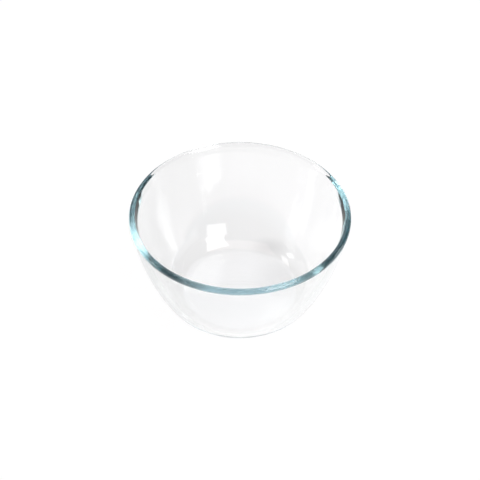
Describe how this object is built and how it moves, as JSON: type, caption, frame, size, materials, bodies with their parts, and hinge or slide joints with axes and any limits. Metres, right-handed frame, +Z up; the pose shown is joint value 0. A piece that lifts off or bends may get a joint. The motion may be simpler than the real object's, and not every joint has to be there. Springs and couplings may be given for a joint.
{
  "type": "mixing bowl",
  "caption": "Round clear-glass mixing bowl with a rolled rim bead, a curved tapering wall, a rounded heel and a flat foot ring, for mixing and serving food.",
  "frame": {"origin": "on the bowl's axis, in the plane of the foot ring that it stands on", "axes": "+Z up along the bowl's axis of revolution; X and Y are alike because the bowl is round"},
  "size_m": [0.14, 0.14, 0.072],
  "materials": {
    "glass": "clear, fire-polished, with a faint teal tint that shows along the rim"
  },
  "bodies": {
    "root": {"base": "glass", "side_wall": "glass", "rim_bead": "glass"}
  },
  "joints": []
}
